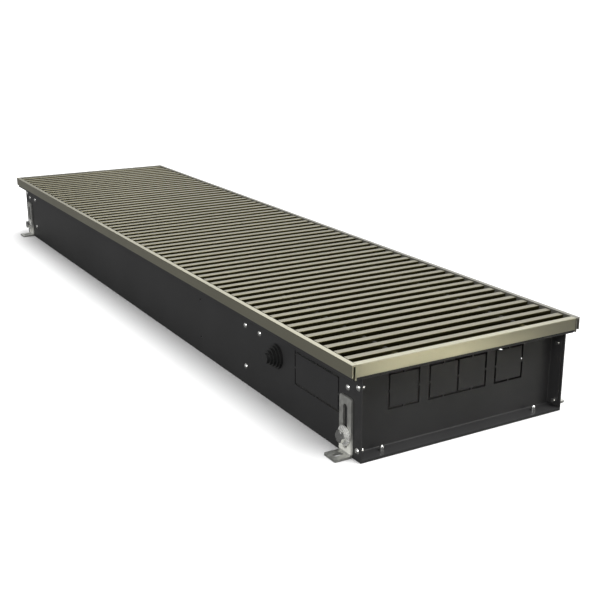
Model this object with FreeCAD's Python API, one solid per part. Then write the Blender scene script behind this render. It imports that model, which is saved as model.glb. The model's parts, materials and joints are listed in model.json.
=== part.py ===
import FreeCAD, Part
import math
import os

# Trench convector: a floor-sunk heater with a roll-up linear grille.
# X runs along the trench and its pipe end is at +X. Y runs across it. Z is up.
# The origin is the centre of the footprint, on the plane that the trough stands on.
# All sizes are in millimetres.

V = FreeCAD.Vector
X_AXIS = V(1, 0, 0)
Y_AXIS = V(0, 1, 0)
Z_AXIS = V(0, 0, 1)
SAME_PLACE = 0.01
HEX_SIDES = 6

# Whole object
HALF_LENGTH = 500.0
HALF_WIDTH = 126.1
HEIGHT = 91.5

# Sheet trough: half sizes to the outer faces, and the heights of the folded rim
SHEET = 1.2
TROUGH_X = 496.4
WALL_Y = 113.35
WALL_IN_Y = WALL_Y - SHEET
RIM_Z0 = 76.5
RIM_Z1 = RIM_Z0 + SHEET
LIP_TOP = 86.5
LIP_Y = 124.2
FIT_GAP = 0.05
MOVE_GAP = 0.3
BEND = 1.0

# End plates, set back from the ends of the trough
END_X = 480.9
END_IN_X = END_X - SHEET
PLATE_Y = WALL_IN_Y - FIT_GAP
SIDE_FLANGE_X = 494.0
END_LIP_X = 498.1
END_LIP_Y = 120.9
SIDE_FLANGE_Z0 = 4.2
SIDE_FLANGE_Z1 = 74.5

# Frame profile: an inverted channel that sits over the lip of the trough
SKIRT_Z0 = 79.8
BEAD = 0.6
BEAD_Z0 = 90.95
GROOVE_Z0 = 90.4
GROOVE_DEPTH = 1.1
FRAME_WEB_Z0 = 89.9
SKIRT_THICK = 1.0
INNER_LEG_THICK = 1.2
SIDE_TOP_WIDTH = 4.8
END_TOP_WIDTH = 6.3
FRAME_INNER_Y = HALF_WIDTH - SIDE_TOP_WIDTH
EDGE_ROUND = 0.2

# Roll-up grille: cross slats on two link springs
SLATS = 61
SLAT_SPAN = 968.0
SLAT_PITCH = SLAT_SPAN / (SLATS - 1)
GRILLE_PLACE = V(-4.2, 0.9, 0)
SLAT_WIDTH = 6.9
SLAT_Z0 = 79.0
SLAT_Z1 = 90.5
SLAT_END_GAP = 1.4
SLAT_Y = FRAME_INNER_Y - SLAT_END_GAP
SLAT_ROUND = 0.5
SLAT_CHAMFER = 1.5
LINK_Y = 72.0
LINK_Z = 84.6
LINK_R = 1.95
LINK_HOLE_R = 2.1
SPACER_R = 3.5
FERRULE_LENGTH = 1.2
STRIP_Y0 = 114.6
STRIP_Y1 = 120.4
STRIP_THICK = 1.0
STRIP_X = 492.5

# Knockouts: pieces of sheet outlined by slits and held by small bridges
SLIT = 2.0
BRIDGE = 1.6
KNOCKOUT_SIZE = 31.7
KNOCKOUT_Z = 52.0
OUTER_KNOCKOUT_Y = 59.2
WALL_KNOCKOUT_X = 423.5
WALL_KNOCKOUT_Z = 50.2
WALL_KNOCKOUT_WIDTH = 74.0
WALL_KNOCKOUT_HEIGHT = 31.5
CUT_DEPTH = 8.0

# Rivets and screws
RIVET_SHANK_R = 1.6
RIVET_HOLE_R = 1.65
RIVET_HEAD_R = 2.9
RIVET_HEAD_H = 1.5
RIVET_TAIL_R = 2.1
RIVET_TAIL = 2.8
CORNER_RIVET_X = 490.6
CORNER_RIVET_Z = (9.0, 66.4)
STOP_RIVET_Z = 61.4
FLOOR_RIVET_X = 488.4
FLOOR_RIVET_Y = 86.5
FLOOR_RIVET_BULB = 4.0
FLOOR_RIVET_CROWN = 1.6
FLOOR_RIVET_HEAD_R = 3.0
SPARE_HOLE_X = 180.5
SPARE_HOLE_Z = (18.5, 61.0)
SPARE_HOLE_R = 1.4

# Height-adjusting feet, one near each corner, each clamped by one bolt
FOOT_X = 474.9
FOOT_WIDTH = 18.5
FOOT_THICK = 2.0
FOOT_LEG_Y = WALL_Y + MOVE_GAP
FOOT_TOE_Y = 131.2
FOOT_TOP = 54.0
FOOT_BEND = 2.4
LEG_CORNER = 2.5
TOE_CORNER = 1.5
LEG_SLOT_R = 3.3
LEG_SLOT_Z = (6.0, 47.0)
ANCHOR_SLOT_R = 2.75
ANCHOR_SLOT_LENGTH = 10.0
ANCHOR_Y = 122.5
CLAMP_Z = 18.2
WASHER_Y = FOOT_LEG_Y + FOOT_THICK + MOVE_GAP
WASHER_THICK = 1.2
WASHER_R = 9.0
SPRING_WASHER_THICK = 1.4
SPRING_WASHER_R = 5.3
WASHER_BORE_R = 3.2
SPRING_SLIT = 0.8
BOLT_R = 2.95
BOLT_HEAD_AF = 10.0
BOLT_HEAD = 3.6
BOLT_CHAMFER = 0.5
WELD_NUT_R = 4.5
WELD_NUT_BORE_R = 3.05
WELD_NUT_LENGTH = 5.0
SHANK_OVERRUN = 1.0

# Support brackets: cross plates screwed to both long walls
BRACKET_SCREW_X = (-446.0, 287.0)
BRACKET_SCREW_Z = (19.0, 62.5)
BRACKET_THICK = 1.5
BRACKET_REACH = 9.5
BRACKET_FLANGE = 19.5
BRACKET_Z0 = 4.0
BRACKET_TOP = 73.0
BRACKET_FOOT_Y = 104.0
FAR_PLATE_X = BRACKET_SCREW_X[0] + BRACKET_REACH
NEAR_PLATE_X = BRACKET_SCREW_X[1] - BRACKET_REACH

# Heat exchanger: finned copper tubes on the rear side
TUBE_Y = (20.0, 70.0)
TUBE_Z = (24.5, 49.5)
TUBE_R = 7.5
TUBE_BORE_R = 6.8
COLLAR_R = 8.2
COLLAR_BORE_R = TUBE_R + FIT_GAP
TUBE_HOLE_R = 7.8
FIN_Y = (-5.0, 95.0)
FIN_Z = (12.0, 62.0)
FIN_THICK = 0.35
FIN_PITCH = 6.0
FINS = 117
FIN_X0 = -428.0
TUBE_X0 = -444.0
TUBE_X1 = 300.0
UNION_X0 = 318.0
UNION_HEX_X0 = 330.0
UNION_X1 = 352.0
UNION_NECK_R = 9.8
UNION_AF = 27.0
THREAD_R = 9.3
THREAD_DEPTH = 16.0
BLOCK_X1 = 322.0
BLOCK_MARGIN = 10.0
BLOCK_PASSAGE_R = 5.0
BLEED_R = 4.0
BLEED_DEPTH = 7.0
BLEED_HEAD_R = 6.0
BLEED_HEAD = 5.5
BLEED_SLOT = 1.4
BLEED_SLOT_DEPTH = 1.6

# Crossflow fan on the front side: one shaft, two impellers, the motor between them
FAN_Y = -68.0
FAN_Z = 37.0
SHAFT_R = 3.0
SHAFT_BORE_R = 3.05
IMPELLER_R = 20.0
IMPELLER_IN_R = 15.6
IMPELLER_X = ((-428.0, -120.0), (-40.0, 270.0))
IMPELLER_BAYS = 3
DISC_THICK = 1.0
HUB_R = 6.0
HUB_LENGTH = 6.0
BLADES = 18
BLADE_THICK = 0.7
BLADE_SWEEP = 16.0
BLADE_BOW = 0.3
FULL_TURN = 360.0
HALF_TURN = 180.0
MOTOR_X = (-106.0, -54.0)
MOTOR_R = 22.0
CRADLE_X = (-112.0, -49.5)
CRADLE_Y = (-90.0, -46.0)
CRADLE_TOP = 60.0
BUSH_R = 6.0
BUSH_LENGTH = 8.0
RING_NECK_R = 10.95
RING_HOLE_R = 11.0
RING_FLANGE_R = 13.0
RING_FLANGE = 1.5
SCROLL_START = 120.0
SCROLL_END = 270.0
SCROLL_R0 = 23.0
SCROLL_R1 = 31.0
SCROLL_THICK = 1.0
SCROLL_STEPS = 6
SCROLL_LIP_Y = -10.0
TONGUE_Y = -45.5
TONGUE_Z0 = 46.0
TONGUE_TOP = 62.0
TONGUE_END_Y = -8.0

# Terminal box inside the front wall, behind the cable grommet
GROMMET_X = 351.6
GROMMET_Z = 50.5
GROMMET_HOLE_R = 10.0
GROMMET_NECK_R = 9.95
GROMMET_STEPS = (12.0, 10.4, 8.6, 6.8, 5.0)
GROMMET_BASE = 2.2
GROMMET_STEP = 2.7
GROMMET_INNER_FLANGE = 1.5
GROMMET_CAVITY_R = (7.6, 2.2)
GROMMET_SKIN = 1.2
BOX_X = (325.0, 381.0)
BOX_Y = (-112.1, -70.0)
BOX_Z = (30.0, 70.0)
BOX_WALL = 2.0
BOX_LID = 2.0
BOX_GROMMET_R = 12.6
BOX_BOSS_R = 3.4
BOX_BOSS_INSET = 5.6
BOSS_X = (BOX_X[0] + BOX_BOSS_INSET, BOX_X[1] - BOX_BOSS_INSET)
BOSS_Y = BOX_Y[1] - BOX_BOSS_INSET
BOX_EAR_X0 = 309.0
BOX_EAR_Z0 = 54.0
BOX_SCREW_X = 317.0
TERMINAL_X = (336.0, 370.0)
TERMINAL_Y = (-102.0, -84.0)
TERMINAL_TOP = 45.0
TERMINAL_POLES = 5
TERMINAL_SCREW_R = 2.2
TERMINAL_SCREW_DEPTH = 4.0
TERMINAL_SCREW_HEIGHT = 3.0


def box(x, y, z):
    """Box between two limits on each axis."""
    return Part.makeBox(x[1] - x[0], y[1] - y[0], z[1] - z[0], V(x[0], y[0], z[0]))


def rod(start, axis, radius, length):
    """Cylinder from a start point along an axis."""
    return Part.makeCylinder(radius, length, start, axis)


def ring(start, axis, outer, inner, length):
    """Round ring or sleeve."""
    return rod(start, axis, outer, length).cut(rod(start, axis, inner, length))


def fuse(solids):
    """Join touching solids into one."""
    return solids[0].multiFuse(solids[1:]).removeSplitter()


def mirror_x(shape):
    return shape.mirror(V(0, 0, 0), X_AXIS)


def mirror_y(shape):
    return shape.mirror(V(0, 0, 0), Y_AXIS)


def both_ends(shapes):
    """Shapes at +X with their copies at -X."""
    return shapes + [mirror_x(shape) for shape in shapes]


def four_corners(shapes):
    """Shapes at the front near corner with their copies at the other three."""
    pairs = both_ends(shapes)
    return pairs + [mirror_y(shape) for shape in pairs]


def round_edges(shape, radius, wanted):
    """Fillet the edges whose middle point passes the test."""
    edges = [edge for edge in shape.Edges if wanted(edge.CenterOfMass)]
    return shape.makeFillet(radius, edges)


def near(value, target):
    return abs(value - target) < SAME_PLACE


def extrude_polygon(points, run):
    """Prism on a closed outline of points."""
    return Part.Face(Part.makePolygon(points + [points[0]])).extrude(run)


def slot(first, last, radius, through):
    """Oblong cutter with its round ends centred on two points."""
    along = V(last - first).normalize()
    side = V(through.cross(along)).normalize() * radius
    tip = along * radius
    edges = [
        Part.LineSegment(first + side, last + side).toShape(),
        Part.Arc(last + side, last + tip, last - side).toShape(),
        Part.LineSegment(last - side, first - side).toShape(),
        Part.Arc(first - side, first - tip, first + side).toShape(),
    ]
    return Part.Face(Part.Wire(edges)).extrude(through)


def hexagon(start, axis, across_flats, length):
    """Hexagonal prism, two of its corners level with the centre."""
    radius = across_flats / math.sqrt(3)
    turns = [math.tau * i / HEX_SIDES for i in range(HEX_SIDES)]
    corners = [V(radius * math.cos(turn), radius * math.sin(turn), 0) for turn in turns]
    prism = extrude_polygon(corners, V(0, 0, length))
    prism.Placement = FreeCAD.Placement(start, FreeCAD.Rotation(Z_AXIS, axis))
    return prism


def dome(centre, axis, radius, height):
    """Low round head on a flat base."""
    ball_r = (radius ** 2 + height ** 2) / (2 * height)
    ball = Part.makeSphere(ball_r, V(0, 0, height - ball_r))
    head = ball.common(Part.makeCylinder(radius, height))
    head.Placement = FreeCAD.Placement(centre, FreeCAD.Rotation(Z_AXIS, axis))
    return head


def domed_pin(face, inward, grip, tail):
    """Rivet or screw: a domed head outside a face, a shank through the grip, a wider tail."""
    head = dome(face, inward * -1, RIVET_HEAD_R, RIVET_HEAD_H)
    shank = rod(face, inward, RIVET_SHANK_R, grip + tail)
    if not tail:
        return fuse([head, shank])
    bulb = rod(face + inward * (grip + FIT_GAP), inward, RIVET_TAIL_R, tail - FIT_GAP)
    return fuse([head, shank, bulb])


def wall_hole(x, z, radius):
    """Cutter through the front wall."""
    return rod(V(x, -WALL_Y - CUT_DEPTH / 2, z), Y_AXIS, radius, CUT_DEPTH)


def panel(normal, centre, width, height):
    """Upright cutter across a sheet whose normal is X or Y."""
    if normal == X_AXIS:
        size = V(CUT_DEPTH, width, height)
    else:
        size = V(width, CUT_DEPTH, height)
    corner = centre - size * 0.5
    return Part.makeBox(size.x, size.y, size.z, corner)


def knockout_slits(normal, centre, width, height):
    """Slits around a knockout, broken by a bridge in the middle of each side."""
    outline = panel(normal, centre, width + SLIT, height + SLIT)
    core = panel(normal, centre, width - SLIT, height - SLIT)
    upright = panel(normal, centre, BRIDGE, height * 2)
    level = panel(normal, centre, width * 2, BRIDGE)
    return outline.cut([core, upright, level])


# ---- trough ----

def side_wall(extra_holes):
    """Front wall with its outward rim and upturned lip."""
    span = (-TROUGH_X, TROUGH_X)
    web = box(span, (-WALL_Y, -WALL_IN_Y), (0, RIM_Z1))
    rim = box(span, (-LIP_Y, -WALL_IN_Y), (RIM_Z0, RIM_Z1))
    lip = box(span, (-LIP_Y, -LIP_Y + SHEET), (RIM_Z0, LIP_TOP))
    wall = fuse([web, rim, lip])
    wall = round_edges(wall, BEND, lambda p: near(p.y, -LIP_Y) and near(p.z, RIM_Z0))
    wall = round_edges(wall, BEND, lambda p: near(p.y, -WALL_IN_Y) and near(p.z, RIM_Z1))
    wall = round_edges(wall, BEND / 2, lambda p: near(p.y, -WALL_Y) and near(p.z, RIM_Z0))
    holes = []
    for side in (-1, 1):
        holes += [wall_hole(side * CORNER_RIVET_X, z, RIVET_HOLE_R) for z in CORNER_RIVET_Z]
        holes.append(wall_hole(side * FOOT_X, STOP_RIVET_Z, RIVET_HOLE_R))
        holes.append(wall_hole(side * FOOT_X, CLAMP_Z, WASHER_BORE_R))
    holes += [wall_hole(x, z, RIVET_HOLE_R) for x in BRACKET_SCREW_X for z in BRACKET_SCREW_Z]
    holes += [wall_hole(SPARE_HOLE_X, z, SPARE_HOLE_R) for z in SPARE_HOLE_Z]
    centre = V(WALL_KNOCKOUT_X, -WALL_Y, WALL_KNOCKOUT_Z)
    holes.append(knockout_slits(Y_AXIS, centre, WALL_KNOCKOUT_WIDTH, WALL_KNOCKOUT_HEIGHT))
    return wall.cut(holes + extra_holes)


def front_wall():
    grommet = wall_hole(GROMMET_X, GROMMET_Z, GROMMET_HOLE_R)
    box_screw = wall_hole(BOX_SCREW_X, BRACKET_SCREW_Z[1], RIVET_HOLE_R)
    return side_wall([grommet, box_screw])


def rear_wall():
    return mirror_y(side_wall([]))


def floor_pan():
    """Bottom sheet, with flush recesses for the rivets of the end plates."""
    sheet = box((-TROUGH_X, TROUGH_X), (-WALL_IN_Y, WALL_IN_Y), (0, SHEET))
    seats = [rod(V(FLOOR_RIVET_X, -FLOOR_RIVET_Y, 0), Z_AXIS, FLOOR_RIVET_HEAD_R + FIT_GAP, SHEET)]
    return sheet.cut(four_corners(seats))


def end_plate():
    """Near end plate: web, floor and side flanges turned outwards, rim and lip on top."""
    width = (-PLATE_Y, PLATE_Y)
    web = box((END_IN_X, END_X), width, (SHEET, RIM_Z1))
    floor_flange = box((END_IN_X, TROUGH_X), width, (SHEET, 2 * SHEET))
    edges = ((-PLATE_Y, -PLATE_Y + SHEET), (PLATE_Y - SHEET, PLATE_Y))
    sides = [box((END_IN_X, SIDE_FLANGE_X), y, (SIDE_FLANGE_Z0, SIDE_FLANGE_Z1)) for y in edges]
    rim = box((END_IN_X, END_LIP_X), width, (RIM_Z0, RIM_Z1))
    shoulder = box((TROUGH_X + MOVE_GAP, END_LIP_X), (-END_LIP_Y, END_LIP_Y), (RIM_Z0, RIM_Z1))
    lip = box((END_LIP_X - SHEET, END_LIP_X), (-END_LIP_Y, END_LIP_Y), (RIM_Z0, LIP_TOP))
    plate = fuse([web, floor_flange] + sides + [rim, shoulder, lip])
    plate = round_edges(plate, BEND, lambda p: near(p.x, END_X) and near(abs(p.y), PLATE_Y - SHEET))
    plate = round_edges(plate, BEND, lambda p: near(p.x, END_X) and near(p.z, 2 * SHEET))
    plate = round_edges(plate, BEND, lambda p: near(p.x, END_LIP_X) and near(p.z, RIM_Z0))
    offsets = (-OUTER_KNOCKOUT_Y, -KNOCKOUT_SIZE / 2, KNOCKOUT_SIZE / 2, OUTER_KNOCKOUT_Y)
    centres = [V(END_X, y, KNOCKOUT_Z) for y in offsets]
    holes = [knockout_slits(X_AXIS, centre, KNOCKOUT_SIZE, KNOCKOUT_SIZE) for centre in centres]
    for side in (-1, 1):
        starts = [V(CORNER_RIVET_X, side * PLATE_Y - CUT_DEPTH / 2, z) for z in CORNER_RIVET_Z]
        holes += [rod(start, Y_AXIS, RIVET_HOLE_R, CUT_DEPTH) for start in starts]
        holes.append(rod(V(FLOOR_RIVET_X, side * FLOOR_RIVET_Y, 0), Z_AXIS, RIVET_HOLE_R, CUT_DEPTH))
    return plate.cut(holes)


def corner_rivets():
    """Rivets that join the long walls to the side flanges of the end plates."""
    rivets = [domed_pin(V(CORNER_RIVET_X, -WALL_Y, z), Y_AXIS, 2 * SHEET + FIT_GAP, RIVET_TAIL)
              for z in CORNER_RIVET_Z]
    return Part.makeCompound(four_corners(rivets))


def foot_stop_rivets():
    """Rivets above the feet that stop their upward travel."""
    rivet = domed_pin(V(FOOT_X, -WALL_Y, STOP_RIVET_Z), Y_AXIS, SHEET, RIVET_TAIL)
    return Part.makeCompound(four_corners([rivet]))


def floor_rivets():
    """Rivets with heads flush in the floor and round-topped stubs standing on the end plates."""
    base = V(FLOOR_RIVET_X, -FLOOR_RIVET_Y, 0)
    bulb_start = base + Z_AXIS * (2 * SHEET + FIT_GAP)
    head = rod(base, Z_AXIS, FLOOR_RIVET_HEAD_R, SHEET)
    shank = rod(base, Z_AXIS, RIVET_SHANK_R, 2 * SHEET + FLOOR_RIVET_BULB)
    bulb = rod(bulb_start, Z_AXIS, RIVET_TAIL_R, FLOOR_RIVET_BULB)
    crown = dome(bulb_start + Z_AXIS * FLOOR_RIVET_BULB, Z_AXIS, RIVET_TAIL_R, FLOOR_RIVET_CROWN)
    return Part.makeCompound(four_corners([fuse([head, shank, bulb, crown])]))


# ---- frame ----

def frame_profile(corner, inward, top_width, run):
    """Inverted channel with a thin bead and a groove along the top of its skirt."""
    skirt_in = BEAD + SKIRT_THICK
    leg_out = top_width - INNER_LEG_THICK
    outline = [(0, HEIGHT), (top_width, HEIGHT), (top_width, RIM_Z1), (leg_out, RIM_Z1),
               (leg_out, FRAME_WEB_Z0), (skirt_in, FRAME_WEB_Z0), (skirt_in, SKIRT_Z0),
               (BEAD, SKIRT_Z0), (BEAD, GROOVE_Z0), (GROOVE_DEPTH, GROOVE_Z0), (GROOVE_DEPTH, BEAD_Z0),
               (0, BEAD_Z0)]
    points = [corner + inward * depth + Z_AXIS * z for depth, z in outline]
    profile = extrude_polygon(points, run)
    outer = (corner + inward * BEAD).dot(inward)

    def outer_long_edge(p):
        depth = p.dot(inward)
        middle = near((p - corner).dot(run), run.Length ** 2 / 2)
        return middle and depth < outer + SAME_PLACE and not near(p.z, BEAD_Z0) and not near(p.z, GROOVE_Z0)
    return round_edges(profile, EDGE_ROUND, outer_long_edge)


def side_frame():
    corner = V(-HALF_LENGTH, -HALF_WIDTH, 0)
    return frame_profile(corner, Y_AXIS, SIDE_TOP_WIDTH, X_AXIS * (2 * HALF_LENGTH))


def end_frame():
    reach = FRAME_INNER_Y - MOVE_GAP
    corner = V(HALF_LENGTH, -reach, 0)
    return frame_profile(corner, X_AXIS * -1, END_TOP_WIDTH, Y_AXIS * (2 * reach))


def grille_rest_strips():
    """Rubber strips on the rims of the long walls, under the ends of the slats."""
    strip = box((-STRIP_X, STRIP_X), (-STRIP_Y1, -STRIP_Y0), (RIM_Z1, RIM_Z1 + STRIP_THICK))
    return Part.makeCompound([strip, mirror_y(strip)])


# ---- grille ----

def slat():
    """One slat, centred on the middle of the grille."""
    half = SLAT_WIDTH / 2
    outline = [V(-half, -SLAT_Y, SLAT_Z1), V(half, -SLAT_Y, SLAT_Z1),
               V(half, -SLAT_Y, SLAT_Z0 + SLAT_CHAMFER), V(half - SLAT_CHAMFER, -SLAT_Y, SLAT_Z0),
               V(-half + SLAT_CHAMFER, -SLAT_Y, SLAT_Z0), V(-half, -SLAT_Y, SLAT_Z0 + SLAT_CHAMFER)]
    bar = extrude_polygon(outline, Y_AXIS * (2 * SLAT_Y))
    bar = round_edges(bar, SLAT_ROUND, lambda p: near(p.z, SLAT_Z1) and near(p.y, 0))
    holes = [rod(V(-half, y, LINK_Z), X_AXIS, LINK_HOLE_R, SLAT_WIDTH) for y in (-LINK_Y, LINK_Y)]
    return bar.cut(holes)


def in_grille(shape):
    """Shape moved from the middle of the object to the middle of the grille."""
    shape.translate(GRILLE_PLACE)
    return shape


def along_grille(shapes, count):
    """Copies of shapes at the slat pitch, centred on the middle of the grille."""
    copies = []
    for index in range(count):
        offset = X_AXIS * ((index - (count - 1) / 2) * SLAT_PITCH)
        copies += [shape.translated(offset) for shape in shapes]
    return in_grille(Part.makeCompound(copies))


def grille_slats():
    return along_grille([slat()], SLATS)


def grille_spacers():
    """Sleeves on the link springs that keep the slats apart."""
    length = SLAT_PITCH - SLAT_WIDTH - 2 * FIT_GAP
    starts = [V(-length / 2, y, LINK_Z) for y in (-LINK_Y, LINK_Y)]
    sleeves = [ring(start, X_AXIS, SPACER_R, LINK_HOLE_R, length) for start in starts]
    return along_grille(sleeves, SLATS - 1)


def grille_link_springs():
    """Two close-wound springs through all the slats."""
    reach = (SLAT_SPAN + SLAT_WIDTH) / 2 + FIT_GAP
    springs = [rod(V(-reach, y, LINK_Z), X_AXIS, LINK_R, 2 * reach) for y in (-LINK_Y, LINK_Y)]
    return in_grille(Part.makeCompound(springs))


def grille_end_ferrules():
    """Caps that hold the ends of the link springs."""
    start = (SLAT_SPAN + SLAT_WIDTH) / 2 + FIT_GAP
    cap = rod(V(start, -LINK_Y, LINK_Z), X_AXIS, SPACER_R, FERRULE_LENGTH)
    return in_grille(Part.makeCompound(four_corners([cap])))


# ---- feet ----

def foot():
    """Front near foot: a slotted leg against the wall and a toe on the floor."""
    span = (FOOT_X - FOOT_WIDTH / 2, FOOT_X + FOOT_WIDTH / 2)
    front_y = -FOOT_LEG_Y - FOOT_THICK
    leg = box(span, (front_y, -FOOT_LEG_Y), (0, FOOT_TOP))
    toe = box(span, (-FOOT_TOE_Y, -FOOT_LEG_Y), (0, FOOT_THICK))
    bracket = fuse([leg, toe])
    bracket = round_edges(bracket, FOOT_BEND, lambda p: near(p.y, -FOOT_LEG_Y) and near(p.z, 0))
    bracket = round_edges(bracket, BEND, lambda p: near(p.y, front_y) and near(p.z, FOOT_THICK))
    bracket = round_edges(bracket, LEG_CORNER, lambda p: near(p.z, FOOT_TOP) and not near(p.x, FOOT_X))
    bracket = round_edges(bracket, TOE_CORNER, lambda p: near(p.y, -FOOT_TOE_Y) and not near(p.x, FOOT_X))
    low = V(FOOT_X, -WASHER_Y, LEG_SLOT_Z[0] + LEG_SLOT_R)
    high = V(FOOT_X, -WASHER_Y, LEG_SLOT_Z[1] - LEG_SLOT_R)
    leg_slot = slot(low, high, LEG_SLOT_R, Y_AXIS * CUT_DEPTH)
    reach = Y_AXIS * (ANCHOR_SLOT_LENGTH / 2 - ANCHOR_SLOT_R)
    anchor = V(FOOT_X, -ANCHOR_Y, 0)
    toe_slot = slot(anchor - reach, anchor + reach, ANCHOR_SLOT_R, Z_AXIS * FOOT_THICK)
    return bracket.cut([leg_slot, toe_slot])


def clamp_washers():
    washer = ring(V(FOOT_X, -WASHER_Y, CLAMP_Z), Y_AXIS * -1, WASHER_R, WASHER_BORE_R, WASHER_THICK)
    return Part.makeCompound(four_corners([washer]))


def clamp_spring_washers():
    """Split ring under each bolt head."""
    start = V(FOOT_X, -WASHER_Y - WASHER_THICK, CLAMP_Z)
    washer = ring(start, Y_AXIS * -1, SPRING_WASHER_R, WASHER_BORE_R, SPRING_WASHER_THICK)
    slit = box((FOOT_X - SPRING_SLIT / 2, FOOT_X + SPRING_SLIT / 2),
               (start.y - SPRING_WASHER_THICK, start.y), (CLAMP_Z, CLAMP_Z + SPRING_WASHER_R))
    return Part.makeCompound(four_corners([washer.cut(slit)]))


def clamp_bolts():
    """Hexagon bolts through the feet into the weld nuts."""
    seat = V(FOOT_X, -WASHER_Y - WASHER_THICK - SPRING_WASHER_THICK, CLAMP_Z)
    head = hexagon(seat, Y_AXIS * -1, BOLT_HEAD_AF, BOLT_HEAD)
    blank = rod(seat, Y_AXIS * -1, BOLT_HEAD_AF / math.sqrt(3), BOLT_HEAD)
    face_edges = [edge for edge in blank.Edges if near(edge.CenterOfMass.y, seat.y - BOLT_HEAD)]
    blank = blank.makeChamfer(BOLT_CHAMFER, face_edges)
    tip_y = -WALL_IN_Y + WELD_NUT_LENGTH + SHANK_OVERRUN
    shank = rod(seat, Y_AXIS, BOLT_R, tip_y - seat.y)
    return Part.makeCompound(four_corners([fuse([head.common(blank), shank])]))


def weld_nuts():
    nut = ring(V(FOOT_X, -WALL_IN_Y, CLAMP_Z), Y_AXIS, WELD_NUT_R, WELD_NUT_BORE_R, WELD_NUT_LENGTH)
    return Part.makeCompound(four_corners([nut]))


# ---- supports for the exchanger and the fan ----

def support_bracket(plate_x, outward):
    """Cross plate with a screw flange along each wall and a foot on the floor."""
    thick = (plate_x, plate_x + BRACKET_THICK)
    start = plate_x if outward > 0 else plate_x + BRACKET_THICK
    reach = sorted((start, start + outward * BRACKET_FLANGE))
    plate = box(thick, (-PLATE_Y, PLATE_Y), (BRACKET_Z0, BRACKET_TOP))
    edges = ((-PLATE_Y, -PLATE_Y + BRACKET_THICK), (PLATE_Y - BRACKET_THICK, PLATE_Y))
    flanges = [box(reach, y, (BRACKET_Z0, BRACKET_TOP)) for y in edges]
    stem = box(thick, (-BRACKET_FOOT_Y, BRACKET_FOOT_Y), (SHEET, BRACKET_Z0))
    toe = box(reach, (-BRACKET_FOOT_Y, BRACKET_FOOT_Y), (SHEET, SHEET + BRACKET_THICK))
    bracket = fuse([plate] + flanges + [stem, toe])
    holes = [rod(V(plate_x, y, z), X_AXIS, TUBE_HOLE_R, BRACKET_THICK) for y in TUBE_Y for z in TUBE_Z]
    holes.append(rod(V(plate_x, FAN_Y, FAN_Z), X_AXIS, RING_HOLE_R, BRACKET_THICK))
    screw_x = plate_x + outward * BRACKET_REACH
    for side in (-1, 1):
        starts = [V(screw_x, side * PLATE_Y - CUT_DEPTH / 2, z) for z in BRACKET_SCREW_Z]
        holes += [rod(start, Y_AXIS, RIVET_HOLE_R, CUT_DEPTH) for start in starts]
    return bracket.cut(holes)


def wall_screws():
    """Screws through the long walls into the support brackets and the terminal box."""
    grip = SHEET + FIT_GAP + BRACKET_THICK + SHANK_OVERRUN
    places = [(x, z) for x in BRACKET_SCREW_X for z in BRACKET_SCREW_Z]
    front = [domed_pin(V(x, -WALL_Y, z), Y_AXIS, grip, 0) for x, z in places]
    rear = [mirror_y(screw) for screw in front]
    front.append(domed_pin(V(BOX_SCREW_X, -WALL_Y, BRACKET_SCREW_Z[1]), Y_AXIS, grip, 0))
    return Part.makeCompound(front + rear)


# ---- heat exchanger ----

def exchanger_fins():
    """Fins joined by the collars that grip the tubes."""
    starts = [FIN_X0 + i * FIN_PITCH for i in range(FINS)]
    fins = [box((start, start + FIN_THICK), FIN_Y, FIN_Z) for start in starts]
    length = (FINS - 1) * FIN_PITCH + FIN_THICK
    places = [(y, z) for y in TUBE_Y for z in TUBE_Z]
    collars = [rod(V(FIN_X0, y, z), X_AXIS, COLLAR_R, length) for y, z in places]
    bores = [rod(V(FIN_X0, y, z), X_AXIS, COLLAR_BORE_R, length) for y, z in places]
    return fins[0].multiFuse(fins[1:] + collars).cut(bores)


def tube(y, z, end_x):
    return ring(V(TUBE_X0, y, z), X_AXIS, TUBE_R, TUBE_BORE_R, end_x - TUBE_X0)


def exchanger_tubes():
    """Straight copper tubes; the lower ones run on to the unions."""
    upper = [tube(y, TUBE_Z[1], TUBE_X1) for y in TUBE_Y]
    lower = [tube(y, TUBE_Z[0], UNION_X0) for y in TUBE_Y]
    return Part.makeCompound(upper + lower)


def return_bend(y):
    """Half-round copper bend that joins a lower tube to the upper one."""
    start = V(TUBE_X0, y, TUBE_Z[0])
    outer = Part.Face(Part.Wire(Part.makeCircle(TUBE_R, start, X_AXIS)))
    inner = Part.Face(Part.Wire(Part.makeCircle(TUBE_BORE_R, start, X_AXIS)))
    middle = V(TUBE_X0, y, sum(TUBE_Z) / 2)
    return outer.cut(inner).revolve(middle, Y_AXIS, HALF_TURN)


def exchanger_return_bends():
    return Part.makeCompound([return_bend(y) for y in TUBE_Y])


def exchanger_crossover_block():
    """Brass block that joins the upper tubes and holds the bleed screw."""
    span_y = (TUBE_Y[0] - BLOCK_MARGIN, TUBE_Y[1] + BLOCK_MARGIN)
    span_z = (TUBE_Z[1] - BLOCK_MARGIN, TUBE_Z[1] + BLOCK_MARGIN)
    block = box((TUBE_X1, BLOCK_X1), span_y, span_z)
    block = round_edges(block, BEND, lambda p: not near(p.x, TUBE_X1))
    middle_x = (TUBE_X1 + BLOCK_X1) / 2
    inlets = [rod(V(TUBE_X1, y, TUBE_Z[1]), X_AXIS, TUBE_BORE_R, middle_x - TUBE_X1) for y in TUBE_Y]
    passage = rod(V(middle_x, TUBE_Y[0], TUBE_Z[1]), Y_AXIS, BLOCK_PASSAGE_R, TUBE_Y[1] - TUBE_Y[0])
    seat = rod(V(middle_x, sum(TUBE_Y) / 2, TUBE_Z[1]), Z_AXIS, BLEED_R + FIT_GAP, BLOCK_MARGIN)
    return block.cut(inlets + [passage, seat])


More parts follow.
